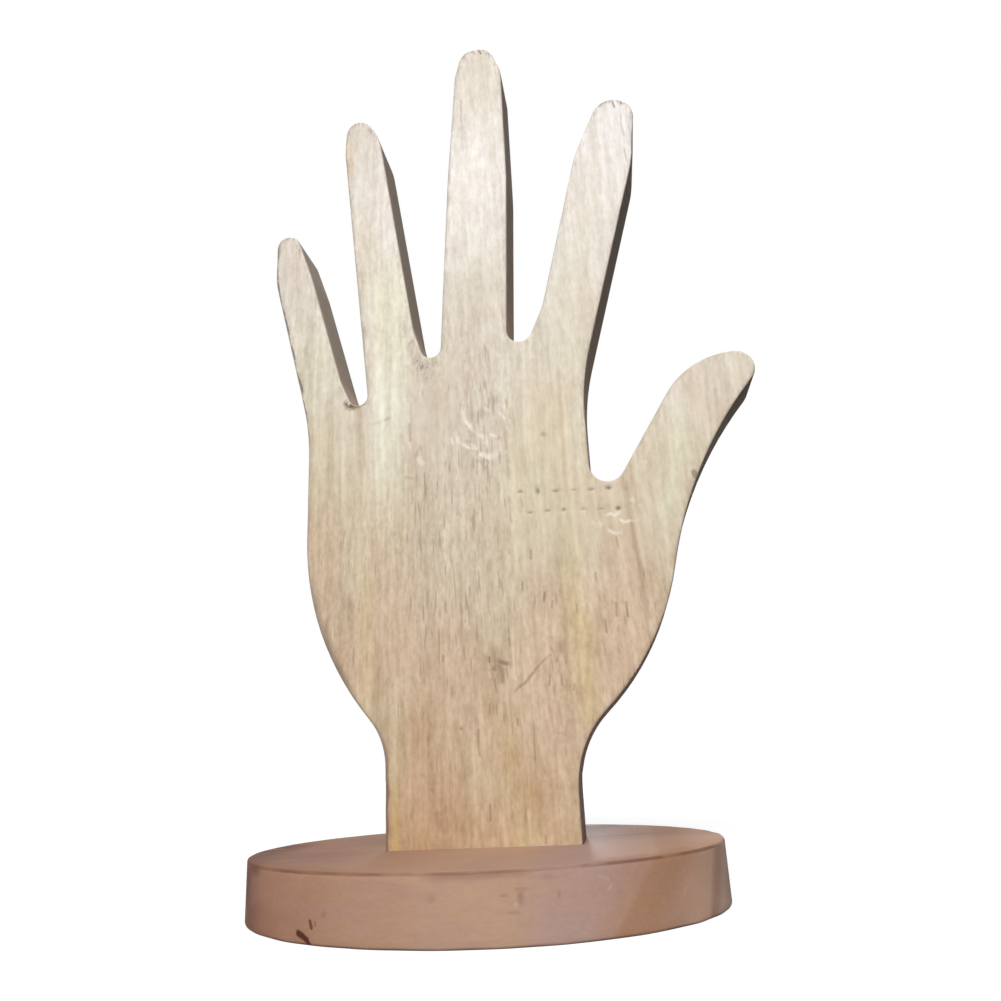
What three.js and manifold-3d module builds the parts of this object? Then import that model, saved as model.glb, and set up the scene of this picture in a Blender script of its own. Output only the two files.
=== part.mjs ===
// A free-standing wooden hand for rings, bracelets and chains. The hand is sawn from one plank, its
// wrist stands in a mortise in an oval base, and two countersunk wood screws hold it from below.
// Millimetres and degrees. +Z is up, the front faces -Y, the origin is the middle of the underside.

import * as THREE from 'three';
import { mergeVertices } from 'three/addons/utils/BufferGeometryUtils.js';
import Module from 'manifold-3d';

// Oval base
const BASE_LENGTH = 136.4;
const BASE_WIDTH = 99.8;
const BASE_THICKNESS = 16.5;
const BASE_ARRIS = 0.8;
const MORTISE_DEPTH = 8;

// Plank that the hand is sawn from
const BOARD_THICKNESS = 19;
const BOARD_ARRIS = 0.8;

// Wrist and palm. Heights are above the base, reaches are from the wrist's centre line.
const WRIST_OFFSET = 1.6;
const WRIST_WIDTH = 56;
const LEFT_WRIST_FILLET = 21;
const RIGHT_WRIST_FILLET = 29;
const LEFT_EDGE_REACH = 53.6;
const LEFT_HEEL = { height: 93, radius: 88 };
const LEFT_HOLLOW = { height: 121, radius: 85 };
const RIGHT_HEEL = { reach: 63.5, height: 94, radius: 80 };

// Fingers. From its root each leans from joint to joint: its pad, for the middle finger a shoulder, and its
// tip. A joint's radius is half the finger's width there. The pad's sides bow round a longer flank radius.
const LITTLE_ROOT = [-47, 140];
const LITTLE_PAD = { lean: -15.4, length: 50.2, radius: 6.6, flank: 20 };
const LITTLE_TIP = { lean: -10.2, length: 16.1, radius: 4.3 };
const RING_ROOT = [-25, 149];
const RING_PAD = { lean: -6.2, length: 91.7, radius: 7, flank: 24 };
const RING_TIP = { lean: -9.7, length: 10, radius: 5 };
const MIDDLE_ROOT = [4, 158];
const MIDDLE_PAD = { lean: 3, length: 62, radius: 10.8, flank: 90 };
const MIDDLE_SHOULDER = { lean: 2.7, length: 47.3, radius: 8.8 };
const MIDDLE_TIP = { lean: -2.8, length: 6.5, radius: 6.9 };
const INDEX_ROOT = [33.5, 155];
const INDEX_PAD = { lean: 15.7, length: 67.3, radius: 10.2, flank: 40 };
const INDEX_TIP = { lean: 15.6, length: 20.9, radius: 7.4 };
const INDEX_EDGE_REACH = 38.6;
const INDEX_HOLLOW = { height: 126, radius: 85 };

// Thumb: one leaning length to its tip, a broad round back and a long hollow down to the heel
const THUMB = { root: [58, 100], lean: 37.9, length: 46.7, back: 26, tip: 6.1 };
const THUMB_HOLLOW = 133;

// Round webs between the fingers, and between the index finger and the thumb. On one side each web between
// fingers sweeps up to its finger in a wider curve.
const LITTLE_SWEEP = { centre: [-33.4, 151.3], radius: 9.9 };
const LITTLE_WEB = { centre: [-36.6, 141.5], radius: 3.2 };
const RING_SWEEP = { centre: [-6.8, 166.7], radius: 10.5 };
const RING_WEB = { centre: [-11.2, 156.4], radius: 3.4 };
const MIDDLE_WEB = { centre: [19.2, 159.3], radius: 4.2 };
const MIDDLE_SWEEP = { centre: [12.2, 172.6], radius: 16.1 };
const THUMB_WEB = { height: 109, radius: 5.5 };

// Countersunk wood screws
const SCREW_SPACING = 32;
const SCREW_LENGTH = 32;
const SCREW_DIAMETER = 4;
const SCREW_POINT = 6;
const HEAD_DIAMETER = 8;
const HEAD_RIM = 0.5;
const HEAD_SINK = 1;

// Clearance left wherever one piece sits inside another
const FIT_GAP = 0.3;

// Fineness of the faceted solids
const CHORD_ERROR = 0.03;
const ARRIS_STEPS = 2;
const OVAL_STEPS = 48;
const TURNED_STEPS = 32;

// Sizes that follow from those above
const stubLength = MORTISE_DEPTH - FIT_GAP;
const headRadius = HEAD_DIAMETER / 2;
const shankRadius = SCREW_DIAMETER / 2;
const coneTop = HEAD_RIM + headRadius - shankRadius;
const screwPlaces = [WRIST_OFFSET - SCREW_SPACING / 2, WRIST_OFFSET + SCREW_SPACING / 2];

const LEFT = -1;
const RIGHT = 1;
const OUTWARD = 1;
const INWARD = -1;
const UPWARD = Math.PI / 2;

// A pin is a circle that the sawn edge runs round. It bends outward over a fingertip and inward in a web.
function pin(centre, radius, bend) {
  return { centre, radius, bend };
}

// A pin that touches the upright line at a given reach to one side of the wrist's centre line.
function edgePin(side, bend, reach, { height, radius }) {
  const x = side * (reach - bend * radius);
  return pin(new THREE.Vector2(x, height), radius, bend);
}

// The end of a straight length that leans from upright, to the right where the lean is positive.
function leaning(start, lean, length) {
  const angle = THREE.MathUtils.degToRad(lean);
  return new THREE.Vector2(Math.sin(angle), Math.cos(angle)).multiplyScalar(length).add(start);
}

// A joint's left and right pins. The longer the flank, the further each lies across the finger's middle.
function flankPins(centre, { lean, radius, flank = radius }) {
  const along = leaning(new THREE.Vector2(), lean, flank - radius);
  const across = new THREE.Vector2(along.y, -along.x);
  return [across, across.clone().negate()].map((shift) => pin(shift.add(centre), flank, OUTWARD));
}

// A finger's pins: up its left side, over the tip and down its right side.
function finger(root, ...joints) {
  const centres = [];
  joints.forEach(({ lean, length }, i) => {
    const start = i ? centres[i - 1] : new THREE.Vector2(...root);
    centres.push(leaning(start, lean, length));
  });
  const sides = joints.map((joint, i) => flankPins(centres[i], joint));
  const [tip] = sides.pop();
  return [...sides.map(([left]) => left), tip, ...sides.map(([, right]) => right).reverse()];
}

// The thumb's round back, centred straight below its tip so that the two arcs flow together, and the tip.
function thumb({ root, lean, length, back, tip }) {
  const tipCentre = leaning(new THREE.Vector2(...root), lean, length);
  const backCentre = new THREE.Vector2(tipCentre.x, tipCentre.y - back + tip);
  return [pin(backCentre, back, OUTWARD), pin(tipCentre, tip, OUTWARD)];
}

function web({ centre, radius }) {
  return pin(new THREE.Vector2(...centre), radius, INWARD);
}

// The hollow where a straight side of the wrist flows into the heel of the palm, touching both.
function wristFillet(side, heel, radius) {
  const x = side * (WRIST_WIDTH / 2 + radius);
  const drop = Math.sqrt((heel.radius + radius) ** 2 - (x - heel.centre.x) ** 2);
  return pin(new THREE.Vector2(x, heel.centre.y - drop), radius, INWARD);
}

// The hollow that joins two outward pins, touching both, on the left of the way from one to the other.
function hollowBetween(from, to, radius) {
  const way = to.centre.clone().sub(from.centre);
  const span = way.length();
  const reachFrom = from.radius + radius;
  const reachTo = to.radius + radius;
  const along = (span ** 2 + reachFrom ** 2 - reachTo ** 2) / (2 * span);
  const aside = Math.sqrt(reachFrom ** 2 - along ** 2);
  const sideways = new THREE.Vector2(-way.y, way.x).multiplyScalar(aside / span);
  const centre = way.multiplyScalar(along / span).add(sideways).add(from.centre);
  return pin(centre, radius, INWARD);
}

// The hand's pins in the order that the saw meets them, clockwise from the left side of the wrist.
function handPins() {
  const leftHeel = edgePin(LEFT, OUTWARD, LEFT_EDGE_REACH, LEFT_HEEL);
  const rightHeel = edgePin(RIGHT, OUTWARD, RIGHT_HEEL.reach, RIGHT_HEEL);
  const [thumbBack, thumbTip] = thumb(THUMB);
  return [
    wristFillet(LEFT, leftHeel, LEFT_WRIST_FILLET),
    leftHeel,
    edgePin(LEFT, INWARD, LEFT_EDGE_REACH, LEFT_HOLLOW),
    ...finger(LITTLE_ROOT, LITTLE_PAD, LITTLE_TIP),
    web(LITTLE_SWEEP),
    web(LITTLE_WEB),
    ...finger(RING_ROOT, RING_PAD, RING_TIP),
    web(RING_SWEEP),
    web(RING_WEB),
    ...finger(MIDDLE_ROOT, MIDDLE_PAD, MIDDLE_SHOULDER, MIDDLE_TIP),
    web(MIDDLE_WEB),
    web(MIDDLE_SWEEP),
    ...finger(INDEX_ROOT, INDEX_PAD, INDEX_TIP),
    edgePin(RIGHT, INWARD, INDEX_EDGE_REACH, INDEX_HOLLOW),
    edgePin(RIGHT, INWARD, INDEX_EDGE_REACH, THUMB_WEB),
    thumbBack,
    thumbTip,
    hollowBetween(thumbTip, rightHeel, THUMB_HOLLOW),
    rightHeel,
    wristFillet(RIGHT, rightHeel, RIGHT_WRIST_FILLET),
  ];
}

// Heading of the straight edge that leaves one pin and meets the next, touching both.
function edgeHeading(from, to) {
  const way = to.centre.clone().sub(from.centre);
  const rise = to.bend * to.radius - from.bend * from.radius;
  return way.angle() + Math.asin(THREE.MathUtils.clamp(rise / way.length(), -1, 1));
}

// The heading at which the edge reaches each pin, and its turn round that pin, left positive.
function turnsRound(pins) {
  const between = pins.slice(1).map((next, i) => edgeHeading(pins[i], next));
  const headings = [UPWARD, ...between, -UPWARD];
  return pins.map((_, i) => {
    const swing = headings[i + 1] - headings[i] + Math.PI;
    return { heading: headings[i], turn: THREE.MathUtils.euclideanModulo(swing, 2 * Math.PI) - Math.PI };
  });
}

// A pin that the edge would have to bend round backwards is not touched: the edge runs straight past it.
function touchedPins(pins) {
  const turns = turnsRound(pins);
  const slack = pins.findIndex(({ bend }, i) => turns[i].turn * bend > 0);
  return slack < 0 ? pins : touchedPins(pins.toSpliced(slack, 1));
}

function pointOnPin({ centre, radius, bend }, heading) {
  const outward = new THREE.Vector2(-Math.sin(heading), Math.cos(heading));
  return outward.multiplyScalar(bend * radius).add(centre);
}

// The sawn outline: up from the wrist's lower left, round every pin and down to its lower right.
function handShape() {
  const pins = touchedPins(handPins());
  const points = [new THREE.Vector2(-WRIST_WIDTH / 2, -stubLength)];
  turnsRound(pins).forEach(({ heading, turn }, i) => {
    const step = 2 * Math.acos(1 - CHORD_ERROR / pins[i].radius);
    const count = Math.max(1, Math.ceil(Math.abs(turn) / step));
    for (let k = 0; k <= count; k += 1) {
      points.push(pointOnPin(pins[i], heading + turn * k / count));
    }
  });
  points.push(new THREE.Vector2(WRIST_WIDTH / 2, -stubLength));
  const spaced = points.filter((point, i) => i === 0 || point.distanceTo(points[i - 1]) > CHORD_ERROR);
  return new THREE.Shape(spaced);
}

// A flat piece of plank with eased edges, lying on Z = 0.
function plank(shape, thickness, arris) {
  const geometry = new THREE.ExtrudeGeometry(shape, {
    depth: thickness - 2 * arris,
    bevelThickness: arris,
    bevelSize: arris,
    bevelOffset: -arris,
    bevelSegments: ARRIS_STEPS,
    curveSegments: OVAL_STEPS,
  });
  return geometry.translate(0, 0, arris);
}

// A turned piece with its axis along Z. Its profile of radius and height starts and ends on the axis.
function turned(profile) {
  const points = profile.map(([radius, height]) => new THREE.Vector2(radius, height));
  return new THREE.LatheGeometry(points, TURNED_STEPS).rotateX(Math.PI / 2);
}

const wasm = await Module();
wasm.setup();

// A closed solid from a geometry, with the corners that its faces share merged.
function solid(geometry) {
  const bare = geometry.clone();
  bare.deleteAttribute('normal');
  bare.deleteAttribute('uv');
  const merged = mergeVertices(bare);
  const mesh = new wasm.Mesh({
    numProp: 3,
    vertProperties: merged.attributes.position.array,
    triVerts: new Uint32Array(merged.index.array),
  });
  return new wasm.Manifold(mesh);
}

function cut(geometry, cutters) {
  const rest = cutters.reduce((body, cutter) => body.subtract(solid(cutter)), solid(geometry));
  const { vertProperties, triVerts } = rest.getMesh();
  const result = new THREE.BufferGeometry();
  result.setAttribute('position', new THREE.BufferAttribute(vertProperties, 3));
  result.setIndex(new THREE.BufferAttribute(triVerts, 1));
  result.computeVertexNormals();
  return result;
}

// The screw stands on its flat head, with a right-angled cone under the rim and a conical point.
function screwGeometry() {
  return turned([
    [0, 0],
    [headRadius, 0],
    [headRadius, HEAD_RIM],
    [shankRadius, coneTop],
    [shankRadius, SCREW_LENGTH - SCREW_POINT],
    [0, SCREW_LENGTH],
  ]);
}

// The countersunk hole that a screw passes, from below the underside up into the mortise.
function screwHole() {
  return turned([
    [0, -HEAD_SINK],
    [headRadius + FIT_GAP, -HEAD_SINK],
    [headRadius + FIT_GAP, HEAD_SINK + HEAD_RIM],
    [shankRadius + FIT_GAP, HEAD_SINK + coneTop],
    [shankRadius + FIT_GAP, BASE_THICKNESS],
    [0, BASE_THICKNESS],
  ]);
}

// The hole in the wrist's end, in the hand's own frame, with room for the screw's shank and point.
function pilotHole() {
  const radius = shankRadius + FIT_GAP;
  const bottom = -BASE_THICKNESS;
  const top = bottom + HEAD_SINK + SCREW_LENGTH + FIT_GAP;
  return turned([
    [0, bottom],
    [radius, bottom],
    [radius, top],
    [0, top],
  ]);
}

function baseGeometry() {
  const oval = new THREE.Shape();
  oval.absellipse(0, 0, BASE_LENGTH / 2, BASE_WIDTH / 2, 0, 2 * Math.PI);
  const mortiseLength = WRIST_WIDTH + 2 * FIT_GAP;
  const mortiseWidth = BOARD_THICKNESS + 2 * FIT_GAP;
  const mortise = new THREE.BoxGeometry(mortiseLength, mortiseWidth, 2 * MORTISE_DEPTH);
  mortise.translate(WRIST_OFFSET, 0, BASE_THICKNESS);
  const holes = screwPlaces.map((x) => screwHole().translate(x, 0, 0));
  return cut(plank(oval, BASE_THICKNESS, BASE_ARRIS), [mortise, ...holes]);
}

// The hand's own frame has its origin on the wrist's centre line, level with the top of the base.
function handGeometry() {
  const board = plank(handShape(), BOARD_THICKNESS, BOARD_ARRIS);
  board.translate(0, 0, -BOARD_THICKNESS / 2).rotateX(Math.PI / 2);
  const holes = screwPlaces.map((x) => pilotHole().translate(x - WRIST_OFFSET, 0, 0));
  return cut(board, holes);
}

const paleWood = new THREE.MeshStandardMaterial({ color: 0xd9c5a5, roughness: 0.65, metalness: 0 });
const brownWood = new THREE.MeshStandardMaterial({ color: 0xa98470, roughness: 0.55, metalness: 0 });
const steel = new THREE.MeshStandardMaterial({ color: 0xb4b0a8, roughness: 0.35, metalness: 1 });

function piece(name, geometry, material) {
  const mesh = new THREE.Mesh(geometry, material);
  mesh.name = name;
  return mesh;
}

const display = new THREE.Group();
display.name = 'hand_jewelry_display';

const base = piece('oval_base', baseGeometry(), brownWood);
display.add(base);

const hand = piece('hand_board', handGeometry(), paleWood);
hand.position.set(WRIST_OFFSET, 0, BASE_THICKNESS);
display.add(hand);

['screw_left', 'screw_right'].forEach((name, i) => {
  const screw = piece(name, screwGeometry(), steel);
  screw.position.set(screwPlaces[i], 0, HEAD_SINK);
  display.add(screw);
});

export default display;
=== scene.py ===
import bmesh
import bpy
import numpy as np
from mathutils import Matrix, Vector
from mathutils.geometry import delaunay_2d_cdt


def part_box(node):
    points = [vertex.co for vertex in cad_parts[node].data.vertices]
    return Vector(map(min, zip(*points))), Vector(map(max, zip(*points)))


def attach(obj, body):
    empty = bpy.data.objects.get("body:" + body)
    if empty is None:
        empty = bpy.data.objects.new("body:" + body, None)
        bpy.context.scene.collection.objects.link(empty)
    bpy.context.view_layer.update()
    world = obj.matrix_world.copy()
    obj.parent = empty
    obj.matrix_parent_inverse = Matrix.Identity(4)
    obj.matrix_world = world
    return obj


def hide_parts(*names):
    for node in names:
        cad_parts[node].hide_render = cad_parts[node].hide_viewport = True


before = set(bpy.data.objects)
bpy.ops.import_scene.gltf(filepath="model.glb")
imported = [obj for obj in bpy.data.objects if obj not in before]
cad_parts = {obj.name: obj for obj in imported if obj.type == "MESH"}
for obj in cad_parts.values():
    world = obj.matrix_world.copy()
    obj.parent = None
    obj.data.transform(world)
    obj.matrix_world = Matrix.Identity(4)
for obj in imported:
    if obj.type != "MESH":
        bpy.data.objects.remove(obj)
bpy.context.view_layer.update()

# Oval base: the foot that the hand stands in, one slab of pinkish brown hardwood.
# It is sawn to an oval and sanded, its edges are eased by hand, a mortise in its top takes
# the wrist, and two countersunk holes in its underside take the screws.

MILLIMETRE = 0.001
ARRIS = 0.8
FIT = 0.3
BASE_POINTS = 480
BASE_SPACING = 4.0
RIM_CLEARANCE = 4.0
MORTISE_HALF_LENGTH = 28.1
MORTISE_HALF_WIDTH = 9.6
MORTISE_HALFWAY = 12.5
MORTISE_CLEARANCE = 1.9
SCREW_PLACES = (-14.4, 17.6)
HEAD_RADIUS = 4.0
HEAD_RIM = 1.5
HEAD_END = 3.5
SHANK_RADIUS = 2.0
BORE_POINTS = 40
BORE_RIM = 0.3
BORE_CLEARANCE = 6.5
ROW_SPACING = 0.866
SAME_POINT = 1e-7
SHARP_ANGLE = 0.7
SPOT_DEPTH = 9.0


def millimetres(corner):
    """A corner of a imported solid's box, in millimetres."""
    return np.array(corner) / MILLIMETRE


def oval_ring(half_length, half_width, count, centre=(0.0, 0.0)):
    """A closed anticlockwise ring: the centre plus (half length cos t, half width sin t), with t
    once round."""
    t = np.linspace(0, 2 * np.pi, count, endpoint=False)
    return np.stack((half_length * np.cos(t), half_width * np.sin(t)), 1) + np.array(centre)


def straight_ring(corner, steps):
    """A closed ring through corners: steps points along each side, which is a straight line from
    a corner to the next."""
    part = (np.arange(steps) / steps)[None, :, None]
    onward = np.roll(corner, -1, 0)
    return (corner[:, None] * (1 - part) + onward[:, None] * part).reshape(-1, 2)


def oblong_ring(half_length, half_width, centre, steps):
    """A closed anticlockwise rectangle round a centre, with steps points along each side."""
    corner = np.array([(-1, -1), (1, -1), (1, 1), (-1, 1)]) * (half_length, half_width)
    return straight_ring(corner + np.array(centre), steps)


def lattice(low, high, spacing):
    """Points of a triangular lattice over a box: rows apart by half the root of three times
    the spacing, and every other row half a space along."""
    row_gap = ROW_SPACING * spacing
    rows, columns = int((high[1] - low[1]) / row_gap), int((high[0] - low[0]) / spacing)
    row, column = np.mgrid[0:rows, 0:columns]
    across = low[0] + spacing * (column + 0.5 * (row % 2) + 0.25)
    along = low[1] + row_gap * (row + 0.5)
    return np.stack((across.ravel(), along.ravel()), 1)


def inside(points, ring):
    """Even-odd rule: a point is inside where a line from it to the right crosses the ring an odd
    number of times."""
    a = ring[None]
    b = np.roll(ring, -1, 0)[None]
    x, y = points[:, None, 0], points[:, None, 1]
    spans = (a[..., 1] > y) != (b[..., 1] > y)
    climb = np.where(b[..., 1] == a[..., 1], 1.0, b[..., 1] - a[..., 1])
    crossing = a[..., 0] + (y - a[..., 1]) / climb * (b[..., 0] - a[..., 0])
    return (spans & (x < crossing)).sum(1) % 2 == 1


def carry(ring, profile, wear=1.0):
    """Carries a profile round a closed ring: point (i, j) is ring point j moved in along its normal
    by inset i times the wear there, at height i. The normal is the chord between its neighbours,
    turned right."""
    chord = np.roll(ring, -1, 0) - np.roll(ring, 1, 0)
    outward = np.stack((chord[:, 1], -chord[:, 0]), 1) / np.linalg.norm(chord, axis=1)[:, None]
    inset, height = np.transpose(profile)
    flat = ring - outward * (inset[:, None] * wear)[..., None]
    return np.concatenate((flat, np.broadcast_to(height[:, None, None], flat.shape[:2] + (1,))), 2)


def eased(radius, low, high, steps, rows):
    """A side profile from its top edge to its bottom edge, as (inset, height): a quarter round, a
    straight wall of some rows, and a quarter round. A quarter round is the radius times
    (1 - sin t, 1 - cos t)."""
    t = np.linspace(0, np.pi / 2, steps)
    top = np.stack((radius * (1 - np.sin(t)), high - radius * (1 - np.cos(t))), 1)
    wall = np.linspace(high - radius, low + radius, rows + 2)[1:-1]
    bottom = np.stack((radius * (1 - np.sin(t)), low + radius * (1 - np.cos(t))), 1)[::-1]
    return np.concatenate((top, np.stack((0 * wall, wall), 1), bottom))


def ripple(count, waves, seed):
    """A smooth closed random wave of about unit height: a sum of cosines of up to that many turns,
    over the root of half their number."""
    draw = np.random.default_rng(seed)
    turns = np.arange(1, waves + 1)[:, None]
    t = np.linspace(0, 2 * np.pi, count, endpoint=False)
    start = draw.uniform(0, 2 * np.pi, (waves, 1))
    size = draw.normal(size=(waves, 1))
    return (np.cos(turns * t + start) * size).sum(0) / np.sqrt(waves / 2)


class Shell:
    """The surface of one piece while it is made: its points, in millimetres, and the faces between
    them."""

    def __init__(self):
        self.points = np.zeros((0, 3))
        self.faces = []

    def place(self, points):
        """Adds points and gives their numbers, in the same rows and columns."""
        start = len(self.points)
        self.points = np.concatenate((self.points, points.reshape(-1, 3)))
        return start + np.arange(points.size // 3).reshape(points.shape[:-1])

    def band(self, grid):
        """Quads between the rows of a grid of point numbers whose columns close round."""
        ahead = np.roll(grid, -1, 1)
        quads = np.stack((grid[:-1], grid[1:], ahead[1:], ahead[:-1]), -1)
        self.faces += quads.reshape(-1, 4).tolist()

    def fill(self, rim, holes=(), inner=np.zeros((0, 2))):
        """Fills a flat face: the triangles that join its rim, the rims of its holes and the inner
        points so that no point lies within a triangle's circle. Triangles in a hole are left out.
        Gives the numbers of the inner points."""
        loops = [rim, *holes]
        height = self.points[rim[0], 2]
        added = self.place(np.concatenate((inner, np.full((len(inner), 1), height)), 1))
        number = np.concatenate((*loops, added))
        flat = self.points[number, :2]
        start = np.cumsum([0] + [len(loop) for loop in loops])[:-1]
        sides = np.concatenate([
            np.stack((first + np.arange(len(loop)), first + np.roll(np.arange(len(loop)), -1)), 1)
            for first, loop in zip(start, loops)
        ])
        made = delaunay_2d_cdt(flat.tolist(), sides.tolist(), [], 1, SAME_POINT)
        corners = np.array(made[2])
        middle = flat[corners].mean(1)
        for hole in holes:
            keep = ~inside(middle, self.points[hole, :2])
            corners, middle = corners[keep], middle[keep]
        self.faces += number[corners].tolist()
        return added

    def piece(self, name, turn=np.eye(3)):
        """Makes the object: points turned into the frame, faces pointing out, smooth but for its
        corners."""
        mesh = bpy.data.meshes.new(name)
        mesh.from_pydata((self.points @ turn.T * MILLIMETRE).tolist(), [], self.faces)
        shell = bmesh.new()
        shell.from_mesh(mesh)
        bmesh.ops.recalc_face_normals(shell, faces=shell.faces)
        shell.to_mesh(mesh)
        shell.free()
        mesh.shade_smooth()
        mesh.set_sharp_from_angle(angle=SHARP_ANGLE)
        made = bpy.data.objects.new(name, mesh)
        bpy.context.scene.collection.objects.link(made)
        return made


base_low, base_high = (millimetres(corner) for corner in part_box("oval_base"))
hand_low, hand_high = (millimetres(corner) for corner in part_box("hand_board"))
wrist_middle = sum(SCREW_PLACES) / 2
mortise_floor = hand_low[2] - FIT

base = Shell()
base_edge = oval_ring(base_high[0], base_high[1], BASE_POINTS)
base_wear = np.clip(0.85 + 0.16 * ripple(BASE_POINTS, 40, 3), 0.4, 1.3)
side = base.place(carry(base_edge, eased(ARRIS, 0.0, base_high[2], 6, 9), base_wear))
base.band(side)
mortise_edge = oblong_ring(MORTISE_HALF_LENGTH, MORTISE_HALF_WIDTH, (wrist_middle, 0), 24)
mortise_wall = [(0, base_high[2]), (0, MORTISE_HALFWAY), (0, mortise_floor)]
mortise = base.place(carry(mortise_edge, mortise_wall))
base.band(mortise[::-1])
spread = lattice(base_low, base_high, BASE_SPACING)
across, back = spread.T
clear_length, clear_width = base_high[:2] - RIM_CLEARANCE
in_oval = np.hypot(across / clear_length, back / clear_width) < 1
by_wrist = np.abs(across - wrist_middle) < MORTISE_HALF_LENGTH + MORTISE_CLEARANCE
by_wrist &= np.abs(back) < MORTISE_HALF_WIDTH + MORTISE_CLEARANCE
base.fill(side[0], [mortise[0]], spread[in_oval & ~by_wrist])
turned = oval_ring(1, 1, BORE_POINTS)
bore = [
    (HEAD_RADIUS + FIT + BORE_RIM, 0), (HEAD_RADIUS + FIT, BORE_RIM), (HEAD_RADIUS + FIT, HEAD_RIM),
    (SHANK_RADIUS + FIT, HEAD_END), (SHANK_RADIUS + FIT, mortise_floor),
]
holes = []
for screw_place in SCREW_PLACES:
    rounds = [
        np.c_[turned * radius + (screw_place, 0), np.full(BORE_POINTS, height)]
        for radius, height in bore
    ]
    holes.append(base.place(np.array(rounds)))
    base.band(holes[-1])
base.fill(mortise[-1], [hole[-1] for hole in holes])
to_screw = np.min([np.hypot(across - screw_place, back) for screw_place in SCREW_PLACES], 0)
in_holes = to_screw < BORE_CLEARANCE
base.fill(side[-1], [hole[0] for hole in holes], spread[in_oval & ~in_holes])
oval_base = base.piece("oval_base_wood")


def paint(red, green, blue):
    """A colour as a paint chart gives it, 0 to 255, in the linear light that a shader takes: its
    share of 255 over 12.92 up to 0.04045, and above that (share + 0.055) / 1.055 to the power
    2.4."""
    shade = np.array((red, green, blue)) / 255
    linear = np.where(shade <= 0.04045, shade / 12.92, ((shade + 0.055) / 1.055) ** 2.4)
    return (*linear.tolist(), 1.0)


class Tone:
    """One socket of a material. Sums of tones and numbers add the Math nodes that work them out."""

    def __init__(self, tree, socket=None):
        self.tree = tree
        self.socket = socket

    def node(self, kind, settings=None, sockets=None, output=0):
        """Adds a node of a kind: its settings first, then its sockets' values or links. Gives one
        output."""
        made = self.tree.nodes.new(kind)
        for name, value in (settings or {}).items():
            setattr(made, name, value)
        for name, value in (sockets or {}).items():
            if isinstance(value, Tone):
                self.tree.links.new(value.socket, made.inputs[name])
            else:
                made.inputs[name].default_value = value
        return Tone(self.tree, made.outputs[output])

    def sum_of(self, operation, first, second):
        """The result of one operation of a Math node on two tones or numbers."""
        return self.node("ShaderNodeMath", {"operation": operation}, {0: first, 1: second})

    def __add__(self, other):
        return self.sum_of("ADD", self, other)

    def __radd__(self, other):
        return self.sum_of("ADD", other, self)

    def __sub__(self, other):
        return self.sum_of("SUBTRACT", self, other)

    def __rsub__(self, other):
        return self.sum_of("SUBTRACT", other, self)

    def __mul__(self, other):
        return self.sum_of("MULTIPLY", self, other)

    def __rmul__(self, other):
        return self.sum_of("MULTIPLY", other, self)


def finish_for(name):
    """A new material with one Principled shader, and the place on the surface in millimetres."""
    made = bpy.data.materials.new(name)
    made.use_nodes = True
    tree = made.node_tree
    start = Tone(tree)
    metres = start.node("ShaderNodeTexCoord", output=3)
    scale = {"operation": "SCALE"}
    place = start.node("ShaderNodeVectorMath", scale, {0: metres, 3: 1 / MILLIMETRE})
    return made, tree.nodes["Principled BSDF"], place


def axes(place):
    """The three numbers of a place."""
    return [place.node("ShaderNodeSeparateXYZ", {}, {0: place}, axis) for axis in range(3)]


def vector(x, y, z):
    """A place from three numbers or tones."""
    tone = next(value for value in (x, y, z) if isinstance(value, Tone))
    return tone.node("ShaderNodeCombineXYZ", {}, {0: x, 1: y, 2: z})


def fleck(place, stretch, detail=2.0, roughness=0.5, shift=(0.0, 0.0, 0.0)):
    """Smooth noise from 0 to 1 whose cells are 1 / stretch millimetres along each axis."""
    stretched = {"operation": "MULTIPLY_ADD"}
    drawn = place.node("ShaderNodeVectorMath", stretched, {0: place, 1: stretch, 2: shift})
    sockets = {"Vector": drawn, "Scale": 1.0, "Detail": detail, "Roughness": roughness}
    return place.node("ShaderNodeTexNoise", {}, sockets)


def rise(value, low, high):
    """0 below low, 1 above high, an S-curve between; falls instead where low is above high."""
    settings = {"interpolation_type": "SMOOTHSTEP"}
    if low < high:
        return value.node("ShaderNodeMapRange", settings, {0: value, 1: low, 2: high})
    return value.node("ShaderNodeMapRange", settings, {0: value, 1: high, 2: low, 3: 1.0, 4: 0.0})


def blend(factor, first, second):
    """A colour that goes from the first to the second as the factor goes from 0 to 1."""
    settings = {"data_type": "RGBA", "blend_type": "MIX"}
    return factor.node("ShaderNodeMix", settings, {0: factor, 6: first, 7: second}, 2)


def changing(along, colour, changes):
    """A colour that changes along a measure. Each change has the two places between which an
    S-curve takes the colour over into a new one, and that new colour."""
    for start, end, wood in changes:
        colour = blend(rise(along, start, end), colour, paint(*wood))
    return colour


def patch(x, z, left, right, low, high, side=2.0, end=8.0):
    """1 over an upright box of the face and 0 outside it, soft by one width at its sides and by
    another at its ends."""
    across = rise(x, left - side, left + side) * rise(x, right + side, right - side)
    return across * rise(z, low - end, low + end) * rise(z, high + end, high - end)


def spot(place, centre, size, soft=0.5):
    """1 in an oval round a centre, of that half size along each axis, fading to 0 over its outer
    part."""
    scale = tuple(1 / half for half in size)
    off = place.node("ShaderNodeVectorMath", {"operation": "SUBTRACT"}, {0: place, 1: centre})
    span = off.node("ShaderNodeVectorMath", {"operation": "MULTIPLY"}, {0: off, 1: scale})
    share = span.node("ShaderNodeVectorMath", {"operation": "LENGTH"}, {0: span}, 1)
    return rise(share, 1.0, 1.0 - soft)


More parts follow.
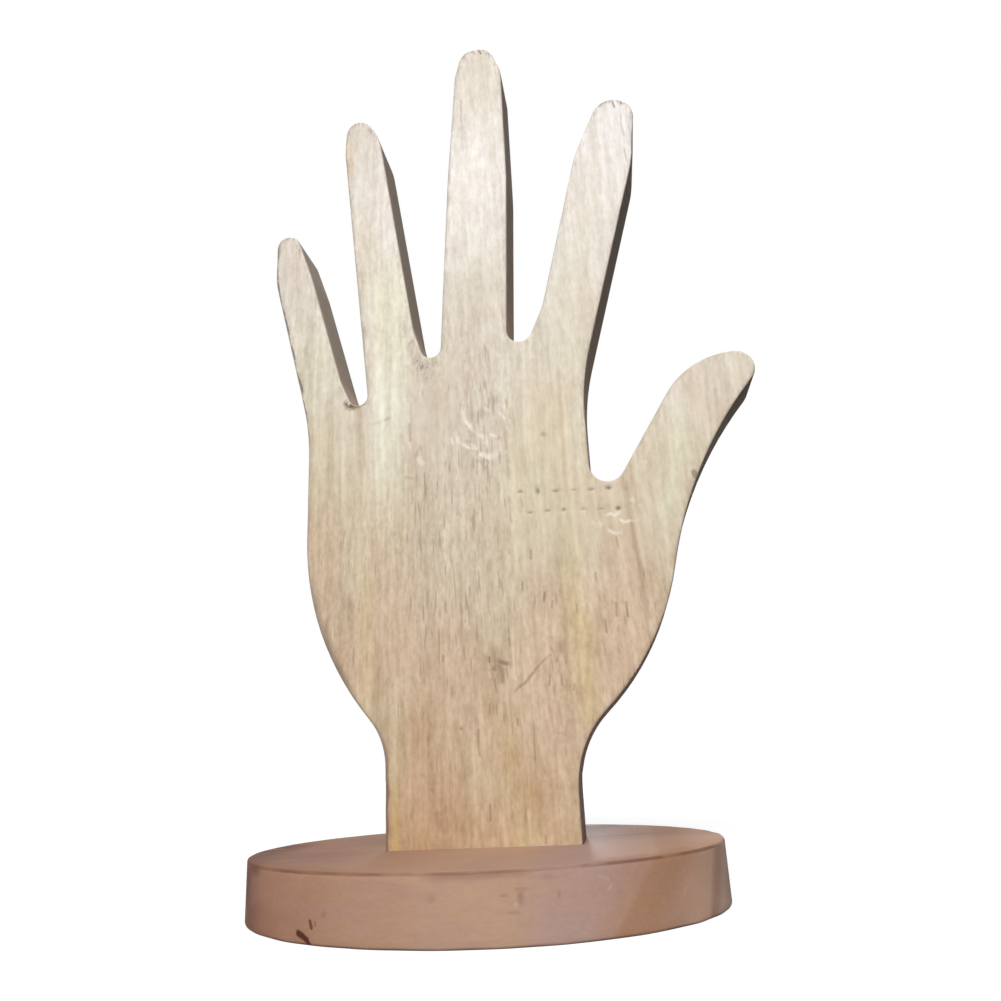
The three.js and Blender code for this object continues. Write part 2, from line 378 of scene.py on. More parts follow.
def stroke(place, start, end, width, soft=0.6):
    """1 along a straight stroke, fading over its width: the distance counts from the nearest point
    of the line between its ends."""
    start, end = np.array(start), np.array(end)
    along = end - start
    per_length = (along / (along @ along)).tolist()
    kind = "ShaderNodeVectorMath"
    off = place.node(kind, {"operation": "SUBTRACT"}, {0: place, 1: start.tolist()})
    share = off.node(kind, {"operation": "DOT_PRODUCT"}, {0: off, 1: per_length}, 1)
    held = share.node("ShaderNodeClamp", {}, {0: share})
    foot = held.node(kind, {"operation": "SCALE"}, {0: along.tolist(), 3: held})
    gap = foot.node(kind, {"operation": "DISTANCE"}, {0: off, 1: foot}, 1)
    return rise(gap, width, width * (1 - soft))


def most(*tones):
    """The strongest of several tones."""
    strongest = tones[0]
    for tone in tones[1:]:
        strongest = strongest.sum_of("MAXIMUM", strongest, tone)
    return strongest


def strokes(place, on, lines):
    """The strongest of many straight strokes on a surface. Each is given as how far across and how
    high its two ends are, its half width and its strength, and the surface gives the points that
    stand there."""
    return most(*(
        strength * stroke(place, on(across_from, high_from), on(across_to, high_to), width)
        for across_from, high_from, across_to, high_to, width, strength in lines
    ))


def spots(place, on, marks, soft=0.9):
    """The strongest of many soft ovals on a surface. Each is given as how far across and how high
    its middle is, its half width, its half height and its strength."""
    return most(*(
        strength * spot(place, on(across, high), (half_width, SPOT_DEPTH, half_height), soft)
        for across, high, half_width, half_height, strength in marks
    ))


def tinted(colour, amount, warmth=0.15):
    """A colour made lighter or darker by a share of itself, darker being warmer too: each channel
    times one plus the amount, a little less of it for red and a little more for blue."""
    scale = vector(1 + amount * (1 - warmth), 1 + amount, 1 + amount * (1 + warmth))
    return colour.node("ShaderNodeVectorMath", {"operation": "MULTIPLY"}, {0: colour, 1: scale})


def on_side(across, high):
    """The point on the front of the oval's side: as far forward as half its width times the root of
    one less the square of its share of the half length."""
    return (across, base_low[1] * np.sqrt(1 - (across / base_high[0]) ** 2), high)


brown_wood, brown_shader, place = finish_for("brown_wood")
x, y, z = axes(place)
broad = fleck(place, (0.03, 0.045, 0.07), 2.0)
blush = fleck(place, (0.06, 0.07, 0.11), 2.0, 0.5, (5.0, 2.0, 7.0))
fibre = fleck(place, (0.07, 0.8, 0.9), 2.0, 0.55)
grit = fleck(place, (0.5, 1.3, 1.3), 1.0)
top = base_high[2]
on_top = rise(z, top - 0.5, top - 0.1)
# Along its length the base goes from a dark left end to a pale right end: the wood's tone, with
# painted shade at the left end.
colour = changing(x, paint(116, 74, 62), [
    (-65.0, -50.0, (179, 131, 110)), (-52.0, -20.0, (192, 151, 125)), (-22.0, 8.0, (200, 164, 139)),
    (13.0, 24.0, (194, 160, 148)), (32.0, 44.0, (192, 154, 135)), (50.0, 58.0, (224, 184, 161)),
])
# Painted light: the side is paler at the right end.
colour = blend(rise(x, 58.0, 66.0) * (1 - on_top), colour, paint(238, 202, 186))
colour = blend(rise(blush, 0.5, 0.66) * 0.35, colour, paint(188, 150, 140))
colour = blend(rise(broad, 0.46, 0.64) * 0.3, colour, paint(200, 160, 130))
slant = x - 0.69 * z + 3.0 * (blush - 0.5)
wide_band = rise(slant, 30.0, 36.0) * rise(slant, 58.0, 46.0)
colour = blend(wide_band * 0.5, colour, paint(196, 152, 124))
dark_band = rise(slant, 36.4, 38.6) * rise(slant, 50.0, 42.5)
colour = blend(dark_band * 0.75, colour, paint(186, 140, 110))
end_slant = x - 0.2 * z
end_band = rise(end_slant, 59.6, 61.4) * rise(end_slant, 64.4, 62.0) * (1 - on_top)
colour = blend(end_band * 0.5, colour, paint(166, 120, 94))
colour = tinted(colour, (fibre - 0.5) * 0.12 + (grit - 0.5) * 0.14)
# Painted shade: the top is 30 % darker than the side, and the left front of the top up to a further
# 20 % darker.
colour = tinted(colour, -0.3 * on_top, 0.0)
colour = tinted(colour, -0.2 * on_top * rise(x, -6.0, -44.0) * rise(y, 8.0, -16.0), 0.0)
arris = rise(z, top - 1.1, top - 0.6) * rise(z, top - 0.02, top - 0.3)
broken = rise(fleck(place, (0.12, 0.12, 0.1), 2.0), 0.36, 0.64)
arris_dirt = 0.3 + 0.15 * broken + 0.3 * rise(x, 4.0, -24.0) + 0.3 * broken * rise(x, 14.0, 30.0)
colour = blend(arris * arris_dirt, colour, paint(112, 74, 58))
under_arris = patch(x, z, -4.0, 30.0, 14.8, 18.0, 4.0, 1.1) * (1 - on_top) * rise(blush, 0.34, 0.6)
left_corner = spot(place, on_side(-57.5, 15.4), (7.0, SPOT_DEPTH, 2.8), 0.9)
# A thin dark line on the top, running to the right from beside the wrist's back right corner.
top_line = strokes(place, lambda across, back: (across, back, top), [
    (29.5, 7.0, 40.9, 9.5, 0.9, 0.7), (40.9, 9.5, 48.2, 12.4, 0.8, 0.8),
    (48.2, 12.4, 52.7, 13.6, 0.6, 0.4),
])
colour = blend(most(under_arris * 0.4, left_corner * 0.7, top_line * 0.6), colour, paint(116, 76, 62))
knots = spots(place, on_side, [
    (-3.4, 10.8, 1.8, 1.6, 0.35), (17.1, 10.4, 1.2, 2.4, 0.7), (17.3, 12.0, 2.4, 0.9, 0.5),
    (13.4, 10.9, 1.8, 0.6, 0.5), (15.4, 7.3, 2.2, 0.6, 0.4), (25.7, 10.5, 0.7, 1.6, 0.4),
    (23.4, 14.4, 2.6, 1.2, 0.3),
])
colour = blend(knots * (0.4 + 0.3 * rise(grit, 0.34, 0.6)), colour, paint(136, 100, 92))
worn = most(
    spots(place, on_side, [(15.9, 8.9, 0.8, 0.9, 0.8), (64.6, 1.2, 3.6, 1.6, 0.9)]),
    strokes(place, on_side, [
        (34.7, 13.6, 37.0, 12.5, 0.5, 0.4), (37.5, 11.3, 36.7, 10.5, 0.5, 0.5),
        (54.5, 7.3, 54.8, 8.1, 0.5, 0.6),
    ]),
)
colour = blend(worn * 0.6, colour, paint(222, 190, 166))
gouges = strokes(place, on_side, [
    (-38.8, 2.5, -37.4, 2.0, 1.1, 1.0), (-37.4, 2.0, -36.0, 1.2, 1.0, 1.0),
    (-36.0, 1.2, -35.3, 0.2, 0.8, 1.0), (-35.2, 5.3, -34.7, 4.0, 0.7, 0.8),
    (-33.7, 5.1, -33.6, 4.6, 0.6, 0.35), (-31.4, 6.9, -30.9, 7.3, 0.9, 0.15),
])
colour = blend(gouges * rise(grit, 0.1, 0.4), colour, paint(96, 54, 40))
brown_shader.inputs["Specular IOR Level"].default_value = 0.1
brown_wood.node_tree.links.new(colour.socket, brown_shader.inputs["Base Color"])
brown_wood.node_tree.links.new((0.62 + fibre * 0.1).socket, brown_shader.inputs["Roughness"])
height = fibre + 0.5 * grit
grain = place.node("ShaderNodeBump", {}, {"Strength": 0.15, "Distance": 0.00015, "Height": height})
brown_wood.node_tree.links.new(grain.socket, brown_shader.inputs["Normal"])
oval_base.data.materials.append(brown_wood)
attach(oval_base, "root")
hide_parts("oval_base")

# Hand board: the open hand and its wrist, one plank of pale straight-grained wood.
# It is band-sawn round the drawn outline with the grain upright, planed on both faces and sanded,
# and the wrist's end goes down into the mortise of the base.

HAND_POINTS = 3000
HAND_SPACING = 2.4
EDGE_DEPTH = 8.7
FACE_PLACE = -9.5
FACE_INSET = 1.7
STUB_TOP = 16.4
STUB_FADE = 7.6
NICK_WIDTH = 0.8
DENT_CLEARANCE = 1.9
FRONT_CLEARANCE = 2.2
BACK_CLEARANCE = 2.6
LINE_SOFTNESS = 0.7
SCUFF_WIDENING = 1.3
SCUFF_DEPTH = 0.05
OFF_THE_EDGE = 3.0


def packed_outline(name, depth):
    """The closed outline of a board's front edge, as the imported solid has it: its wall triangles
    each hold one side of the outline, from a point to the next, and following the points'
    successors doubles the run each time."""
    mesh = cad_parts[name].data
    flat = np.zeros(len(mesh.vertices) * 3)
    mesh.vertices.foreach_get("co", flat)
    point = flat.reshape(-1, 3) / MILLIMETRE
    corner = np.zeros(len(mesh.loops), int)
    mesh.loops.foreach_get("vertex_index", corner)
    corner = corner.reshape(-1, 3)
    unique, same = np.unique(np.round(point, 3), axis=0, return_inverse=True)
    corner = same.reshape(-1)[corner]
    front = np.abs(unique[:, 1] + depth) < 0.02
    behind = unique[:, 1] > 0.05 - depth
    turned = np.concatenate([np.roll(corner, shift, 1) for shift in range(3)])
    wall = turned[front[turned[:, 0]] & front[turned[:, 1]] & behind[turned[:, 2]]]
    follows = np.arange(len(unique))
    follows[wall[:, 0]] = wall[:, 1]
    run = np.array([wall[0, 0]])
    while len(run) < len(wall):
        run = np.concatenate((run, follows[run]))
        follows = follows[follows]
    return unique[run[:len(wall)]][:, [0, 2]]


def even_ring(ring, count, blur):
    """A closed ring again at even steps: points on the straight lines between the old ones, then
    each the mean of its neighbours weighted by a bell curve of that width in steps. The mean is
    taken on the ring's waves: each is multiplied by the bell curve's own wave."""
    closed = np.concatenate((ring, ring[:1]))
    run = np.concatenate(([0], np.cumsum(np.linalg.norm(np.diff(closed, axis=0), axis=1))))
    at = np.linspace(0, run[-1], count, endpoint=False)
    drawn = np.interp(at, run, closed[:, 0]) + 1j * np.interp(at, run, closed[:, 1])
    waves = np.fft.fft(drawn) * np.exp(-2 * (np.pi * blur * np.fft.fftfreq(count)) ** 2)
    smooth = np.fft.ifft(waves)
    return np.stack((smooth.real, smooth.imag), 1)


outline = packed_outline("hand_board", EDGE_DEPTH)
onward = np.roll(outline, -1, 0)
area = 0.5 * np.sum(outline[:, 0] * onward[:, 1] - onward[:, 0] * outline[:, 1])
outline = outline if area > 0 else outline[::-1]
outline = np.roll(outline, -np.argmin(outline[:, 1] * 1000 + outline[:, 0]), 0)
hand_edge = even_ring(outline, HAND_POINTS, 1.6)
stub = np.clip((STUB_TOP - hand_edge[:, 1:]) / STUB_FADE, 0, 1)
hand_edge = hand_edge * (1 - stub) + even_ring(outline, HAND_POINTS, 5) * stub
hand_wear = np.clip(1 + 0.22 * ripple(HAND_POINTS, 160, 7), 0.55, 1.5)
tip_nicks = np.array([(12.4, 296.6), (59.8, 262.6), (-0.6, 291.0)])
nick_gap = np.linalg.norm(hand_edge[:, None] - tip_nicks, axis=2)
hand_wear += (np.array([0.6, 0.7, 0.4]) * np.exp(-(nick_gap / NICK_WIDTH) ** 2)).sum(1)
hand_wear = np.clip(hand_wear, 0.55, 1.8)
hand_face = hand_high[1]
hand_profile = np.concatenate((
    [(FACE_INSET, hand_face)],
    eased(ARRIS, -hand_face, hand_face, 5, 6),
    [(FACE_INSET, -hand_face)],
))
hand = Shell()
wear_rows = np.ones((len(hand_profile), HAND_POINTS))
wear_rows[1:-1] = hand_wear
walls = hand.place(carry(hand_edge, hand_profile, wear_rows))
hand.band(walls)

# How far across and how high each dent is, its depth, its half length and its half height.
DENTS = np.array([
    (18.1, 119.0, 0.25, 0.8, 0.55), (23.6, 118.6, 0.4, 0.6, 1.2), (29.1, 118.2, 0.22, 1.2, 0.5),
    (34.8, 118.0, 0.13, 1.0, 0.45), (40.2, 117.6, 0.22, 1.1, 0.5), (45.5, 117.7, 0.42, 0.8, 0.75),
    (50.9, 116.8, 0.07, 0.8, 0.6), (20.7, 111.9, 0.2, 0.9, 0.5), (26.2, 112.0, 0.2, 0.8, 0.5),
    (31.2, 111.9, 0.3, 0.7, 0.6), (37.2, 111.5, 0.16, 1.0, 0.55), (42.6, 111.1, 0.14, 1.3, 0.45),
    (47.8, 110.8, 0.42, 0.8, 0.65), (53.2, 110.7, 0.08, 1.0, 0.45),
])
dent_places = DENTS[:, :2]
dent_depths, dent_lengths, dent_heights = DENTS[:, 2:].T
dent_rounds = np.concatenate([oval_ring(size, size, 14) for size in (0.2, 0.45, 0.75, 1.05, 1.4)])
dent_points = (dent_places[:, None] + dent_rounds).reshape(-1, 2)


def drawn(points, lines, soft):
    """How strongly lines are drawn at points: the greatest, over the lines, of the line's strength
    times an S-curve that falls from its middle to its half width. Each line has two ends, a half
    width and a strength."""
    start, along = lines[:, :2], lines[:, 2:4] - lines[:, :2]
    off = points[:, None] - start
    share = np.clip((off * along).sum(2) / (along ** 2).sum(1), 0, 1)
    gap = np.linalg.norm(off - share[..., None] * along, axis=2) / lines[:, 4]
    fall = np.clip((1 - gap) / soft, 0, 1)
    return (lines[:, 5] * fall * fall * (3 - 2 * fall)).max(1)


def spread_along(lines):
    """Points that let a line show on a face: nine places along it and past its ends, each with five
    across its width."""
    along = lines[:, 2:4] - lines[:, :2]
    half = along / np.linalg.norm(along, axis=1)[:, None] * lines[:, 4:5]
    beside = np.stack((half[:, 1], -half[:, 0]), 1)
    share = np.array([0, 0, 0.17, 0.33, 0.5, 0.67, 0.83, 1, 1])[:, None, None]
    past = np.array([-1, 0, 0, 0, 0, 0, 0, 0, 1])[:, None, None]
    middle = lines[:, :2] + share * along + past * half
    shift = np.array([-1, -0.5, 0, 0.5, 1])[:, None, None]
    return (middle[:, None] + shift * beside).reshape(-1, 2)


def nearest(points, others):
    """How far each point is from the nearest of the others."""
    return np.linalg.norm(points[:, None] - others, axis=2).min(1)


# The marks on the front, each a line: how far across and how high its two ends are, its half width
# and its strength. Pores and scars are dark, bruises are brownish, and scuffs are pale and shallow.
PORES = np.array([
    (20.3, 100.0, 20.1, 97.5, 0.5, 0.8), (17.1, 90.5, 17.0, 88.0, 0.5, 0.8),
    (23.7, 86.8, 23.2, 84.2, 0.6, 1.0), (25.7, 84.0, 25.5, 82.0, 0.5, 0.7),
    (33.0, 82.4, 32.9, 80.2, 0.5, 0.6), (44.6, 82.0, 44.4, 78.3, 0.5, 0.9),
    (47.5, 82.0, 47.6, 77.8, 0.5, 0.9), (40.8, 77.5, 41.1, 73.6, 0.5, 0.8),
    (39.3, 91.5, 39.2, 89.3, 0.5, 0.6), (46.4, 102.0, 46.7, 98.6, 0.45, 0.7),
    (22.5, 109.2, 22.4, 107.0, 0.5, 0.4), (18.2, 116.4, 18.4, 114.0, 0.45, 0.5),
    (23.6, 62.5, 23.2, 59.6, 0.5, 0.8), (26.9, 62.3, 26.9, 59.3, 0.5, 0.8),
    (30.5, 59.3, 30.3, 57.8, 0.5, 0.6), (13.4, 50.6, 13.4, 48.9, 0.5, 0.8),
    (4.3, 27.6, 4.2, 23.6, 0.55, 0.9), (1.7, 48.2, 1.6, 44.0, 0.5, 0.7),
    (1.6, 43.5, 1.9, 41.0, 0.5, 0.5), (12.1, 74.0, 12.3, 71.5, 0.5, 0.8),
    (-8.0, 70.0, -8.2, 68.4, 0.5, 0.7), (6.1, 138.6, 6.1, 134.0, 0.4, 0.7),
    (8.1, 134.4, 8.0, 124.0, 0.45, 0.7), (4.7, 131.2, 4.7, 126.2, 0.4, 0.5),
    (19.5, 19.0, 19.4, 17.2, 0.5, 0.7), (-12.9, 32.4, -11.9, 32.2, 0.4, 0.6),
    (-15.5, 36.5, -15.0, 36.2, 0.4, 0.5), (5.4, 55.2, 5.4, 52.5, 0.4, 0.5),
    (-33.0, 144.0, -32.6, 133.0, 0.45, 0.4), (-3.4, 48.9, -3.2, 48.6, 0.7, 0.9),
])
SCARS = np.array([
    (8.8, 67.3, 9.4, 67.0, 1.3, 0.6), (9.6, 66.8, 11.2, 66.5, 0.9, 0.5),
    (8.4, 65.6, 9.4, 64.6, 1.6, 0.4), (7.1, 65.4, 7.3, 65.0, 0.7, 0.6),
    (5.9, 68.7, 5.9, 67.4, 0.5, 0.8), (7.2, 62.2, 7.5, 58.6, 0.5, 0.7),
    (9.5, 63.8, 9.6, 61.2, 0.8, 0.6), (8.3, 63.4, 8.4, 61.0, 0.7, 0.3),
    (9.8, 55.2, 9.9, 51.6, 0.8, 0.35), (6.6, 54.8, 6.7, 52.5, 0.6, 0.25),
    (26.0, 67.2, 25.9, 66.3, 0.6, 0.7), (28.3, 67.4, 28.6, 65.4, 0.5, 0.5),
    (12.9, 58.4, 14.6, 59.7, 0.5, 0.5), (14.6, 59.7, 16.2, 60.6, 0.65, 0.7),
    (16.2, 60.6, 19.8, 64.6, 0.65, 0.7), (19.8, 64.6, 22.0, 66.8, 0.5, 0.6),
    (22.0, 66.8, 24.2, 68.3, 0.45, 0.4), (24.5, 70.2, 24.8, 69.2, 0.6, 0.5),
    (4.4, 274.0, 4.2, 264.2, 0.5, 0.45), (4.2, 264.2, 4.3, 251.4, 0.5, 0.35),
    (23.5, 46.6, 27.2, 45.4, 0.5, 0.2),
])
BRUISES = np.array([
    (8.6, 68.6, 8.6, 63.6, 4.6, 0.45), (9.2, 67.0, 10.6, 66.6, 1.5, 0.9),
    (10.6, 66.6, 12.0, 66.3, 1.0, 0.6), (8.8, 66.0, 9.4, 64.6, 1.8, 0.7),
    (8.3, 70.9, 8.4, 69.8, 1.3, 0.5), (5.0, 68.8, 5.0, 68.0, 1.2, 0.6),
    (4.5, 67.0, 4.5, 65.0, 0.9, 0.5), (6.3, 65.2, 7.3, 65.2, 0.8, 0.6),
    (27.3, 71.2, 27.4, 69.4, 2.6, 0.7), (3.2, 147.2, 3.8, 147.2, 2.0, 0.4),
    (6.7, 148.0, 6.7, 146.6, 2.2, 0.5), (11.6, 152.0, 11.6, 151.0, 2.8, 0.4),
    (12.6, 143.2, 12.6, 141.6, 2.0, 0.35), (11.8, 138.0, 12.2, 138.0, 1.1, 0.5),
    (14.4, 139.0, 14.4, 125.0, 1.0, 0.4), (-17.2, 146.0, -17.1, 139.8, 0.7, 0.6),
    (-19.0, 127.6, -16.6, 127.0, 0.9, 0.4), (1.6, 137.9, 2.0, 137.9, 1.1, 0.4),
    (5.0, 131.0, 5.0, 130.6, 0.8, 0.5), (26.5, 137.7, 26.7, 137.5, 1.3, 0.8),
    (-29.6, 147.4, -26.6, 148.1, 0.9, 0.25), (-25.4, 148.4, -24.6, 148.9, 0.8, 0.6),
    (50.8, 119.0, 51.4, 106.0, 1.3, 0.3), (51.4, 106.0, 51.9, 100.0, 1.1, 0.55),
    (51.9, 100.0, 52.3, 95.0, 1.1, 0.55), (52.3, 95.0, 53.1, 86.0, 1.1, 0.55),
    (53.1, 86.0, 53.7, 77.0, 1.1, 0.35),
])
SCUFFS = np.array([
    (0.6, 148.3, 1.7, 144.4, 0.4, 0.6), (1.6, 145.0, 2.0, 143.9, 0.6, 1.0),
    (2.6, 143.5, 3.3, 142.0, 0.8, 0.9), (3.3, 142.0, 4.8, 140.2, 0.5, 0.6),
    (-2.0, 141.3, -1.2, 138.4, 0.6, 0.8), (-1.4, 138.8, -1.0, 137.9, 0.8, 0.9),
    (-3.6, 139.4, -2.8, 137.7, 0.6, 0.7), (0.0, 137.2, 2.0, 135.8, 0.5, 0.7),
    (2.0, 135.8, 4.8, 135.0, 0.6, 0.8), (3.0, 136.3, 4.0, 135.8, 0.8, 0.6),
    (6.7, 139.3, 7.8, 136.9, 0.9, 0.6), (9.7, 139.4, 11.5, 138.4, 0.45, 0.8),
    (6.0, 132.9, 7.2, 132.6, 0.8, 0.9), (7.2, 132.6, 8.6, 131.8, 1.0, 1.0),
    (9.3, 131.8, 11.3, 132.9, 1.2, 0.45), (12.8, 146.6, 14.3, 144.6, 0.55, 0.7),
    (-14.2, 133.5, -13.0, 131.8, 0.9, 0.5), (8.0, 148.9, 9.3, 147.7, 0.6, 0.5),
    (13.6, 149.4, 14.4, 148.2, 0.6, 0.4), (-17.4, 139.6, -17.3, 137.6, 0.4, 0.5),
    (44.0, 109.2, 45.6, 109.6, 0.5, 0.7), (45.6, 109.6, 46.6, 108.9, 0.55, 1.0),
    (46.6, 108.9, 48.2, 109.7, 0.5, 0.7), (48.1, 107.4, 49.3, 106.6, 0.5, 0.9),
    (49.3, 106.6, 50.6, 106.7, 0.6, 1.0), (50.6, 106.7, 53.6, 106.7, 0.5, 0.35),
    (44.5, 104.3, 45.9, 103.3, 0.6, 0.8), (45.9, 103.3, 48.0, 103.3, 0.5, 0.4),
    (40.0, 107.2, 40.8, 105.6, 0.6, 0.5), (41.6, 106.8, 42.4, 106.2, 0.8, 0.4),
    (52.0, 113.4, 52.8, 113.0, 0.9, 0.4), (52.0, 111.2, 54.5, 111.2, 0.5, 0.35),
    (56.0, 125.1, 57.6, 125.0, 0.6, 0.45), (5.5, 66.6, 5.9, 65.2, 0.4, 0.3),
    (5.7, 64.2, 6.0, 62.6, 0.4, 0.25), (12.9, 64.8, 13.0, 62.2, 0.9, 0.25),
])
SCUFFS[:, 4] *= SCUFF_WIDENING
line_points = [spread_along(lines) for lines in (PORES, SCARS, BRUISES, SCUFFS)]
marked = np.unique(np.round(np.concatenate([dent_points, *line_points]), 1), axis=0)
edge_points = hand_edge[::4]
plank = lattice(hand_low[[0, 2]], hand_high[[0, 2]], HAND_SPACING)
plank = plank[inside(plank, edge_points)]
front = np.concatenate((plank[nearest(plank, dent_places) > DENT_CLEARANCE], marked))
front = front[nearest(front, edge_points) > FRONT_CLEARANCE]
front_inner = hand.fill(walls[0], inner=front)
hand.fill(walls[-1], inner=plank[nearest(plank, edge_points) > BACK_CLEARANCE])
off = front[:, None] - dent_places
dent_shape = np.exp(-(off[..., 0] / dent_lengths) ** 2 - (off[..., 1] / dent_heights) ** 2)
scuffed = drawn(front, SCUFFS, LINE_SOFTNESS)
hand.points[front_inner, 2] -= (dent_depths * dent_shape).max(1) + SCUFF_DEPTH * scuffed
rims = np.full(len(hand.points), OFF_THE_EDGE)
rims[walls] = hand_profile[:, :1]
runs = np.zeros(len(hand.points))
edge_run = np.cumsum(np.linalg.norm(hand_edge - np.roll(hand_edge, 1, 0), axis=1))
runs[walls] = edge_run
edge_chord = np.roll(hand_edge, -1, 0) - np.roll(hand_edge, 1, 0)
leeward = np.zeros(len(hand.points))
leeward[walls] = edge_chord[:, 1] / np.linalg.norm(edge_chord, axis=1)
face_forward = np.array([(1, 0, 0), (0, 0, -1), (0, 1, 0)])
hand_board = hand.piece("hand_board_wood", face_forward)


def mark_points(piece, name, values):
    """Keeps one number for each point of a piece, for its material to read."""
    kept = piece.data.attributes.new(name, "FLOAT", "POINT")
    kept.data.foreach_set("value", values.astype(np.float32))


mark_points(hand_board, "rim", rims)
mark_points(hand_board, "run", runs)
mark_points(hand_board, "lee", leeward)
front_marks = {
    "dent": (dent_depths / dent_depths.max() * dent_shape).max(1),
    "pore": drawn(front, PORES, LINE_SOFTNESS),
    "scar": drawn(front, SCARS, LINE_SOFTNESS),
    "bruise": drawn(front, BRUISES, 1.0),
    "scuff": scuffed,
}
for name, strengths in front_marks.items():
    values = np.zeros(len(hand.points))
    values[front_inner] = strengths
    mark_points(hand_board, name, values)


def on_face(across, high):
    """The point on the front of the plank."""
    return (across, FACE_PLACE, high)


pale_wood, pale_shader, place = finish_for("pale_wood")
x, y, z = axes(place)
rim, run, lee, dent, pore, scar, bruise, scuff = (
    place.node("ShaderNodeAttribute", {"attribute_name": name}, output=2)
    for name in ("rim", "run", "lee", "dent", "pore", "scar", "bruise", "scuff")
)
growth_lean = rise(x, 15.0, 52.0) * rise(z, 122.0, 104.0) * (118.0 - z) * 0.062
across = x - growth_lean + 1.8 * fleck(place, (0.03, 0.03, 0.02))
grown = vector(across, y, z)
band = fleck(grown, (0.28, 0.15, 0.012), 1.0)
streak = fleck(grown, (0.5, 0.4, 0.03), 1.0)
fibre = fleck(grown, (0.85, 0.5, 0.14), 1.0)
grit = fleck(grown, (1.05, 0.8, 0.55), 1.0)
mottle = fleck(place, (0.4, 0.4, 0.2), 1.0)
blotch = fleck(place, (0.075, 0.08, 0.03), 1.0)
cloud = fleck(place, (0.06, 0.08, 0.022), 1.0, 0.5, (40.0, 0.0, 9.0))
stain = fleck(place, (0.13, 0.1, 0.05), 2.0, 0.5, (11.0, 0.0, 4.0))

fingers = rise(z, 150.0, 205.0)
# Up the plank the colour goes from tan at the wrist to pale at the fingers: the wood's tone
# together with painted light, paler towards the top. The fingers grow darker again towards their
# tips.
colour = changing(z, paint(190, 157, 124), [
    (14.0, 52.0, (213, 187, 159)), (60.0, 122.0, (218, 203, 178)), (108.0, 172.0, (224, 214, 197)),
    (165.0, 228.0, (234, 227, 218)),
])
tip_height = (
    297.0 - 25.5 * rise(x, 2.0, -28.0) - 46.5 * rise(x, -40.0, -58.0) - 33.0 * rise(x, 26.0, 50.0)
)
colour = tinted(colour, rise(z - tip_height, -60.0, -4.0) * (0.16 * rise(x, 26.0, 40.0) - 0.22))
colour = blend(rise(x, 28.0, 38.0) * rise(z, 215.0, 250.0) * 0.6, colour, paint(229, 222, 219))

# The plank's colour zones: what is measured across, a zone's left, right, low and high side, how
# soft its sides and its ends are, how strongly it shows, and its colour.
# Their colours hold some painted light along with the wood's tone.
for measure, left, right, low, high, side_width, end_width, share, wood in (
    (x, -44.0, -28.0, 198.0, 228.0, 3.0, 12.0, 0.5, (218, 204, 182)),
    (x, -46.0, -37.0, 246.0, 262.0, 2.0, 8.0, 0.6, (224, 200, 172)),
    (x, -70.0, -40.0, 50.0, 126.0, 3.0, 18.0, 0.55, (210, 182, 154)),
    (across, -39.0, -32.0, 116.0, 150.0, 1.8, 16.0, 0.25, (224, 212, 182)),
    (x, -70.0, -44.0, 118.0, 150.0, 4.0, 10.0, 0.4, (217, 200, 170)),
    (x, -40.0, -30.0, 96.0, 122.0, 3.0, 10.0, 0.4, (208, 188, 156)),
    (across, -28.6, -17.4, 122.0, 204.0, 1.2, 12.0, 0.8, (235, 231, 211)),
    (across, -17.0, 14.8, 85.0, 180.0, 2.5, 30.0, 0.4, (214, 203, 186)),
    (x, -12.0, 18.0, 160.0, 196.0, 5.0, 14.0, 0.4, (208, 198, 186)),
    (x, 15.4, 62.0, 96.0, 150.0, 0.8, 22.0, 0.75, (226, 213, 188)),
    (x, 15.4, 62.0, 34.0, 84.0, 6.0, 18.0, 0.6, (222, 198, 170)),
    (x, 28.5, 34.5, 60.0, 106.0, 2.2, 14.0, 0.42, (212, 191, 146)),
    (x, 32.0, 33.4, 100.0, 156.0, 0.9, 14.0, 0.4, (206, 188, 146)),
    (x, 32.0, 37.0, 46.0, 80.0, 2.2, 9.0, 0.5, (210, 184, 134)),
    (x, -34.0, -30.0, 54.0, 96.0, 1.6, 12.0, 0.4, (208, 184, 138)),
    (x, -24.6, -21.8, 0.0, 40.0, 1.0, 8.0, 0.6, (200, 170, 116)),
    (x, -21.0, -18.6, 0.0, 36.0, 0.8, 6.0, 0.4, (214, 184, 152)),
    (x, -26.0, -12.0, 36.0, 56.0, 3.0, 8.0, 0.6, (190, 158, 126)),
    (x, 11.0, 19.0, 0.0, 32.0, 2.0, 10.0, 0.75, (186, 152, 106)),
    (x, 7.6, 13.4, 30.0, 52.0, 2.4, 9.0, 0.35, (198, 166, 116)),
    (x, 19.5, 28.0, 28.0, 56.0, 2.0, 10.0, 0.55, (218, 191, 164)),
    (x - growth_lean, 41.0, 50.6, 50.0, 106.0, 2.5, 12.0, 0.3, (218, 186, 160)),
    (x, 50.0, 80.0, 104.0, 166.0, 1.0, 16.0, 0.7 * rise(x, 53.0, 57.0), (224, 214, 192)),
    (x - 0.24 * z, 34.5, 37.5, 104.0, 136.0, 1.5, 10.0, 0.6, (228, 226, 196)),
    (x, 62.0, 84.0, 142.0, 168.0, 5.0, 8.0, 0.6, (228, 215, 202)),
):
    zone = patch(measure, z, left, right, low, high, side_width, end_width)
    colour = blend(zone * share, colour, paint(*wood))
patchy = 1 - 0.55 * fingers
colour = blend(rise(blotch, 0.42, 0.68) * 0.22 * patchy, colour, paint(216, 186, 160))
colour = blend(rise(cloud, 0.45, 0.7) * 0.3 * patchy, colour, paint(216, 210, 178))
colour = blend(rise(stain, 0.5, 0.7) * 0.25 * rise(z, 118.0, 84.0), colour, paint(176, 144, 112))
middle = patch(across, z, -17.0, 14.8, 60.0, 176.0, 3.0, 26.0)
left_part = rise(x, -16.0, -22.0) * (1 - fingers)
